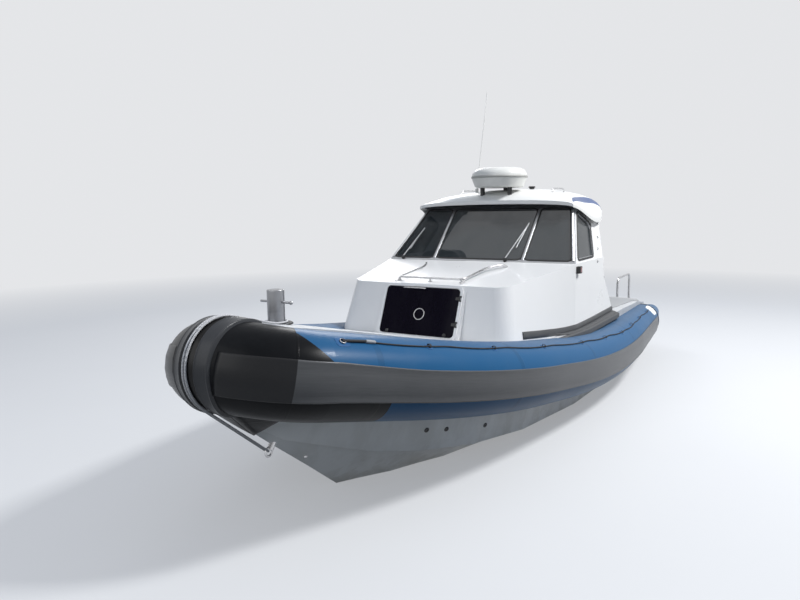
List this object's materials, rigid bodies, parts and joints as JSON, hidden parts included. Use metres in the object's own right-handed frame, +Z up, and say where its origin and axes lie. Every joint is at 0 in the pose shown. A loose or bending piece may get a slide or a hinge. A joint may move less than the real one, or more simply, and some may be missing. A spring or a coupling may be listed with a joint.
{
  "type": "rigid inflatable boat",
  "caption": "Rigid V-hulled boat with blue inflatable tubes, a black nose and grey wear bands, a white cabin with raked windscreen and crowned roof, a radar dome and one outboard engine.",
  "frame": {"origin": "amidships on the centre plane at the waterline", "axes": "+Z up, bow toward -Y, stern toward +Y, port side toward +X"},
  "size_m": [2.9326, 8.3681, 4.3197],
  "materials": {
    "gelcoat_grey": "light grey hull gelcoat, faintly weathered",
    "deck_grey": "light grey non-slip deck gelcoat",
    "tube_black": "coated fabric, satin black",
    "tube_blue": "coated fabric, satin blue",
    "band_grey": "grey rubber wear band",
    "guard_grey": "grey rubber bow guard",
    "rubber_black": "black rubber",
    "gelcoat_white": "glossy white gelcoat",
    "stainless": "polished stainless steel",
    "frame_alu": "satin anodised frame",
    "glass_tint": "clear toughened glass",
    "acrylic_dark": "dark tinted acrylic",
    "black_plastic": "matt black plastic",
    "lamp_plastic": "black lamp body with a coloured lens",
    "white_plastic": "white plastic, slightly yellowed",
    "vinyl_grey": "grey vinyl",
    "painted_grey": "semi-gloss grey engine paint",
    "cowl_grey": "glossy dark grey cowl",
    "rope_grey": "light grey braided rope",
    "rope_black": "black braided rope"
  },
  "bodies": {
    "boat": {"hull": "gelcoat_grey", "deck": "deck_grey", "tube_bow": "tube_black", "tube_port": "tube_blue", "tube_starboard": "tube_blue", "rub_band_port": "band_grey", "rub_band_starboard": "band_grey", "bow_guard": "guard_grey", "side_strip_port": "rubber_black", "side_strip_starboard": "rubber_black", "coaming_port": "gelcoat_white", "coaming_starboard": "gelcoat_white", "stern_hoops": "stainless", "cabin": "gelcoat_white", "cabin_side_port": "gelcoat_white", "cabin_side_starboard": "gelcoat_white", "roof": "gelcoat_white", "windscreen_frame": "frame_alu", "windscreen": "glass_tint", "side_window_frames": "frame_alu", "side_windows": "glass_tint", "hatch_frame": "frame_alu", "hatch_hinges": "stainless", "coachroof_rail": "stainless", "wipers": "black_plastic", "side_lamps": "lamp_plastic", "radome": "white_plastic", "radome_feet": "white_plastic", "whip_aerial": "white_plastic", "roof_rails": "stainless", "samson_post": "stainless", "bow_eye": "stainless", "dash": "black_plastic", "console": "gelcoat_white", "helm_stub": "stainless", "seats": "frame_alu", "seat_cushions": "vinyl_grey", "engine_clamp": "painted_grey", "painter": "rope_grey", "grab_line_port": "rope_black", "grab_line_starboard": "rope_black", "instrument_hood": "gelcoat_white", "roof_vent": "black_plastic"},
    "hatch": {"hatch_lid": "acrylic_dark", "hatch_leaves": "stainless"},
    "engine_tilt": {"engine_swivel": "painted_grey"},
    "engine": {"engine_leg": "painted_grey", "engine_cowl": "cowl_grey"},
    "propeller": {"propeller": "stainless"},
    "helm": {"helm_wheel": "black_plastic"}
  },
  "joints": [
    {"name": "hatch_hinge", "type": "hinge", "parent": "boat", "child": "hatch", "pos_m": [0.394, -1.2952, 1.1684], "axis": [0, 0.3881, 0.9216], "range_deg": [0, 105]},
    {"name": "engine_tilt_hinge", "type": "hinge", "parent": "boat", "child": "engine_tilt", "pos_m": [0, 3.42, 0.455], "axis": [1, 0, 0], "range_deg": [0, 62]},
    {"name": "engine_steer_hinge", "type": "hinge", "parent": "engine_tilt", "child": "engine", "pos_m": [0, 3.61, 0.3], "axis": [0, 0, 1], "range_deg": [-30, 30]},
    {"name": "propeller_spin", "type": "hinge", "parent": "engine", "child": "propeller", "pos_m": [0, 4.11, -0.64], "axis": [0, 1, 0], "continuous": true},
    {"name": "helm_spin", "type": "hinge", "parent": "boat", "child": "helm", "pos_m": [-0.48, 0.49, 1.235], "axis": [0, 0.8192, 0.5736], "range_deg": [-540, 540]}
  ],
  "couplings": [
    {"joint": "helm_spin", "follows": "engine_steer_hinge", "ratio": -18}
  ]
}
